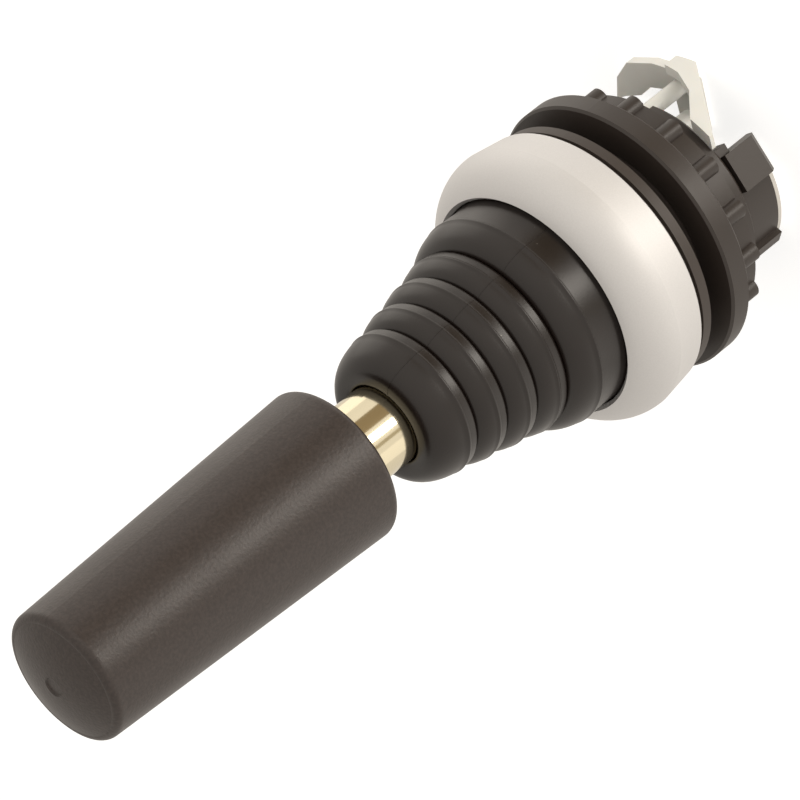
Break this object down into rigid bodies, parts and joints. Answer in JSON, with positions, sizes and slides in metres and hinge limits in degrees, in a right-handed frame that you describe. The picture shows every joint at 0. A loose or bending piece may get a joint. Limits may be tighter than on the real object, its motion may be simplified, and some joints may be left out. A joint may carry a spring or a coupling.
{
  "type": "industrial joystick",
  "caption": "Panel-mount industrial joystick: tapered grip on a polished shaft with a rubber bellows, satin bezel, ring nut and plungers that press contact blocks.",
  "frame": {"origin": "centre of the 22.5 mm panel hole, on the panel's front face, where the gasket's underside lies", "axes": "+Z out of the panel along the upright lever, +X to the operator's right, +Y up the panel"},
  "size_m": [0.0296, 0.0296, 0.0905],
  "materials": {
    "grip_plastic": "fine spark-eroded grain, matt black",
    "boot_rubber": "moulded black rubber, dull sheen",
    "black_plastic": "moulded black glass-filled nylon, satin",
    "bezel_finish": "satin titanium-grey metallic lacquer",
    "nickel": "polished warm nickel plating",
    "spring_steel": "plain bright steel",
    "brass": "turned brass",
    "white_plastic": "natural ivory acetal, satin",
    "grey_plastic": "light grey moulded plastic",
    "gasket_rubber": "dark grey sealing rubber"
  },
  "bodies": {
    "base": {"stem": "black_plastic", "boot_ring": "black_plastic", "bezel": "bezel_finish", "gate_plate": "black_plastic", "panel_gasket": "gasket_rubber", "ring_nut": "black_plastic", "gimbal_pins": "spring_steel", "boot": "boot_rubber", "plunger_guide": "black_plastic", "return_spring": "spring_steel", "spring_washer": "spring_steel", "spring_right": "spring_steel", "spring_left": "spring_steel", "spring_up": "spring_steel", "spring_down": "spring_steel", "rear_cover": "grey_plastic", "cover_screw": "spring_steel"},
    "gimbal": {"gimbal_ring": "spring_steel", "hub_pins": "spring_steel"},
    "lever": {"shaft": "nickel", "grip": "grip_plastic", "grip_insert": "brass", "hub_washer": "spring_steel", "lever_hub": "brass", "rocker_disc": "white_plastic", "disc_clip": "spring_steel"},
    "right": {"plunger_right": "white_plastic"},
    "left": {"plunger_left": "white_plastic"},
    "up": {"plunger_up": "white_plastic"},
    "down": {"plunger_down": "white_plastic"}
  },
  "joints": [
    {"name": "tilt_up_down", "type": "hinge", "parent": "base", "child": "gimbal", "pos_m": [0, 0, 0.0046], "axis": [1, 0, 0], "range_deg": [-15, 15], "stiffness_Nm_per_rad": 0.5, "deforming": ["boot", "return_spring"]},
    {"name": "tilt_left_right", "type": "hinge", "parent": "gimbal", "child": "lever", "pos_m": [0, 0, 0.0046], "axis": [0, 1, 0], "range_deg": [-15, 15], "stiffness_Nm_per_rad": 0.5, "deforming": ["boot", "return_spring"]},
    {"name": "press_right", "type": "slide", "parent": "base", "child": "right", "axis": [0, 0, 1], "range_m": [-0.0016, 0.0016], "stiffness_N_per_m": 150, "deforming": ["spring_right"]},
    {"name": "press_left", "type": "slide", "parent": "base", "child": "left", "axis": [0, 0, 1], "range_m": [-0.0016, 0.0016], "stiffness_N_per_m": 150, "deforming": ["spring_left"]},
    {"name": "press_up", "type": "slide", "parent": "base", "child": "up", "axis": [0, 0, 1], "range_m": [-0.0016, 0.0016], "stiffness_N_per_m": 150, "deforming": ["spring_up"]},
    {"name": "press_down", "type": "slide", "parent": "base", "child": "down", "axis": [0, 0, 1], "range_m": [-0.0016, 0.0016], "stiffness_N_per_m": 150, "deforming": ["spring_down"]}
  ],
  "couplings": [
    {"joint": "press_right", "follows": "tilt_left_right", "m_per_rad": -0.0061},
    {"joint": "press_left", "follows": "tilt_left_right", "m_per_rad": 0.0061},
    {"joint": "press_up", "follows": "tilt_up_down", "m_per_rad": 0.0061},
    {"joint": "press_down", "follows": "tilt_up_down", "m_per_rad": -0.0061}
  ]
}
